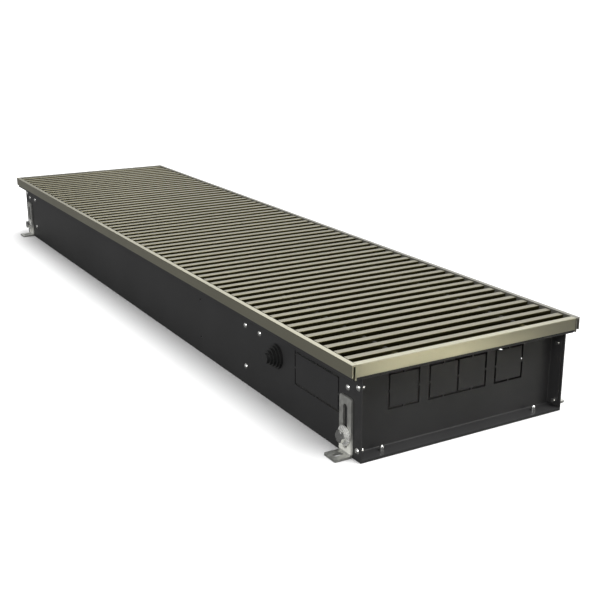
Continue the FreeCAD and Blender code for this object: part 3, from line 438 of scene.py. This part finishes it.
def make_slot_finishes():
    """A finish for every material slot of the record."""
    return {
        "slat_bronze": brushed("slat_anodised", SLAT_BRONZE, roughness=0.34, grain=ALONG_Y, shaded_flanks=True),
        "black_powder": powder_coat("black_powder_coat", BLACK, roughness=0.42),
        "galvanised": galvanised("galvanised_sheet", roughness=0.38),
        "zinc_fastener": plated("bright_zinc", BRIGHT_ZINC, roughness=0.2),
        "spring_steel": plated("spring_steel", SPRING_STEEL, roughness=0.3),
        "rubber_black": moulded("black_rubber", RUBBER, roughness=0.38),
        "copper": tarnished_copper("bare_copper", roughness=0.3),
        "brass": plated("machined_brass", BRASS, roughness=0.26),
        "fin_aluminium": brushed("fin_stock", FIN_STOCK, roughness=0.3, grain=ALONG_Y),
        "fan_black": moulded("fan_plastic", FAN_PLASTIC, roughness=0.45),
        "motor_grey": powder_coat("motor_paint", MOTOR_PAINT, roughness=0.4),
        "box_grey": moulded("box_plastic", BOX_PLASTIC, roughness=0.5),
        "terminal_white": moulded("terminal_plastic", TERMINAL_PLASTIC, roughness=0.45),
    }


def make_node_finishes():
    """Finishes of the few nodes that differ from the rest of their slot."""
    plate_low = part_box("end_plate_near")[0]
    plate_face = plate_low[0] + PLATE_SHEET
    slit_shade_edge = [plate_face - depth for depth in SLIT_SHADE_DEPTH]
    # Painted shade: the rear and far rails take a darker, less metallic copy of the rail bronze, standing in
    # for the shade they lie in
    rear = {"colour": SHADED_RAIL_BRONZE, "roughness": 0.36, "metallic": 0.45}
    return {
        "frame_front": brushed("frame_anodised_long", BRONZE, roughness=0.30, grain=ALONG_X),
        "frame_near_end": brushed("frame_anodised_end", BRONZE, roughness=0.30, grain=ALONG_Y),
        "frame_rear": brushed("frame_anodised_rear_shaded", grain=ALONG_X, **rear),
        "frame_far_end": brushed("frame_anodised_far_shaded", grain=ALONG_Y, **rear),
        # Painted highlight: the washers take a paler, less metallic zinc
        "clamp_washers": plated("washer_zinc_highlight", WASHER_HIGHLIGHT_ZINC, roughness=0.24, metallic=0.45),
        "end_plate_near": powder_coat("end_plate_coat_slit_shade", BLACK, roughness=0.42, slit_shade_edge=slit_shade_edge),
    }


# ---- CAD nodes ----

SMOOTH_ANGLE = math.radians(35)
BEVEL_SEGMENTS = 2

# Bevel widths in millimetres
WORN_EDGES = {
    "cable_grommet": 0.35,
    "clamp_bolts": 0.35,
    "clamp_washers": 0.25,
    "clamp_spring_washers": 0.2,
    "terminal_box_base": 0.3,
    "terminal_block": 0.3,
    "bleed_screw": 0.4,
    "pipe_unions": 0.4,
    "motor_cradle": 0.3,
    "exchanger_crossover_block": 0.2,
}


def soften(node, width):
    """Small bevel along the sharp edges of a node."""
    bevel = node.modifiers.new("worn_edges", "BEVEL")
    bevel.width = width
    bevel.segments = BEVEL_SEGMENTS
    bevel.limit_method = "ANGLE"
    bevel.angle_limit = SMOOTH_ANGLE
    bevel.harden_normals = False


def smooth(mesh):
    """Smooth shading on round faces, with sharp edges kept."""
    mesh.shade_smooth()
    mesh.set_sharp_from_angle(angle=SMOOTH_ANGLE)


def dress_nodes(slot_finish, node_finish):
    """Give every CAD node its finish."""
    slot_of = {part["node"]: part["material_slot"] for part in frame["record"]["subparts"]}
    for name, node in NODES.items():
        finish = node_finish.get(name) or slot_finish[slot_of[name]]
        node.data.materials.clear()
        node.data.materials.append(finish)
        smooth(node.data)
        if name in WORN_EDGES:
            soften(node, WORN_EDGES[name] * MM)


# ---- fin pack ----

TUBE_R = 7.5 * MM
HOLE_R = 7.55 * MM
COLLAR_R = 8.2 * MM
COLLAR_LENGTH = 2.5 * MM
FIN_SHEET = 0.2 * MM
FIN_STEP = 3.0 * MM
RING_SIDES = 20


def loop(bm, points):
    """Edges of a closed chain through points."""
    corners = [bm.verts.new(point) for point in points]
    return [bm.edges.new(pair) for pair in zip(corners, corners[1:] + corners[:1])]


def circle(centre, radius, x):
    """Points around a centre given as Y and Z."""
    turns = [math.tau * i / RING_SIDES for i in range(RING_SIDES)]
    return [(x, centre[0] + radius * math.cos(turn), centre[1] + radius * math.sin(turn)) for turn in turns]


def bridge(bm, first, second):
    """Band of faces between two loops."""
    bmesh.ops.bridge_loops(bm, edges=first + second)


def fin_mesh(low, high, centres):
    """One thin plate with a collar drawn out of it around each tube."""
    bm = bmesh.new()
    back_x, front_x, tip_x = low[0], low[0] + FIN_SHEET, low[0] + COLLAR_LENGTH
    outline = ((low[1], low[2]), (high[1], low[2]), (high[1], high[2]), (low[1], high[2]))
    back, front = [loop(bm, [(x, y, z) for y, z in outline]) for x in (back_x, front_x)]
    bridge(bm, back, front)
    for centre in centres:
        mouth = loop(bm, circle(centre, HOLE_R, back_x))
        root = loop(bm, circle(centre, COLLAR_R, front_x))
        tip = loop(bm, circle(centre, COLLAR_R, tip_x))
        bore = loop(bm, circle(centre, HOLE_R, tip_x))
        for first, second in ((root, tip), (tip, bore), (bore, mouth)):
            bridge(bm, first, second)
        back += mouth
        front += root
    for edges in (back, front):
        bmesh.ops.triangle_fill(bm, edges=edges, use_beauty=True)
    bmesh.ops.recalc_face_normals(bm, faces=bm.faces)
    mesh = bpy.data.meshes.new("exchanger_fin_pack")
    bm.to_mesh(mesh)
    bm.free()
    return mesh


def tube_centres():
    """Y and Z of the four tubes."""
    low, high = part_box("exchanger_tubes")
    return [(y, z) for y in (low[1] + TUBE_R, high[1] - TUBE_R) for z in (low[2] + TUBE_R, high[2] - TUBE_R)]


def make_fin_pack(finish):
    """Thinner, closer fins, each with its own collars, in the place of the coarser CAD fins."""
    low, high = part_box("exchanger_fins")
    pack = bpy.data.objects.new("exchanger_fin_pack", fin_mesh(low, high, tube_centres()))
    bpy.context.scene.collection.objects.link(pack)
    array = pack.modifiers.new("pitch", "ARRAY")
    array.count = 1 + math.floor((high[0] - low[0] - COLLAR_LENGTH) / FIN_STEP)
    array.use_relative_offset = False
    array.use_constant_offset = True
    array.constant_offset_displace = (FIN_STEP, 0, 0)
    pack.data.materials.append(finish)
    smooth(pack.data)
    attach(pack, "trough")
    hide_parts("exchanger_fins")


make_camera()
make_world()
make_floor()
make_lights()
slot_finish = make_slot_finishes()
dress_nodes(slot_finish, make_node_finishes())
make_fin_pack(slot_finish["fin_aluminium"])
bpy.context.scene.view_settings.view_transform = "Standard"
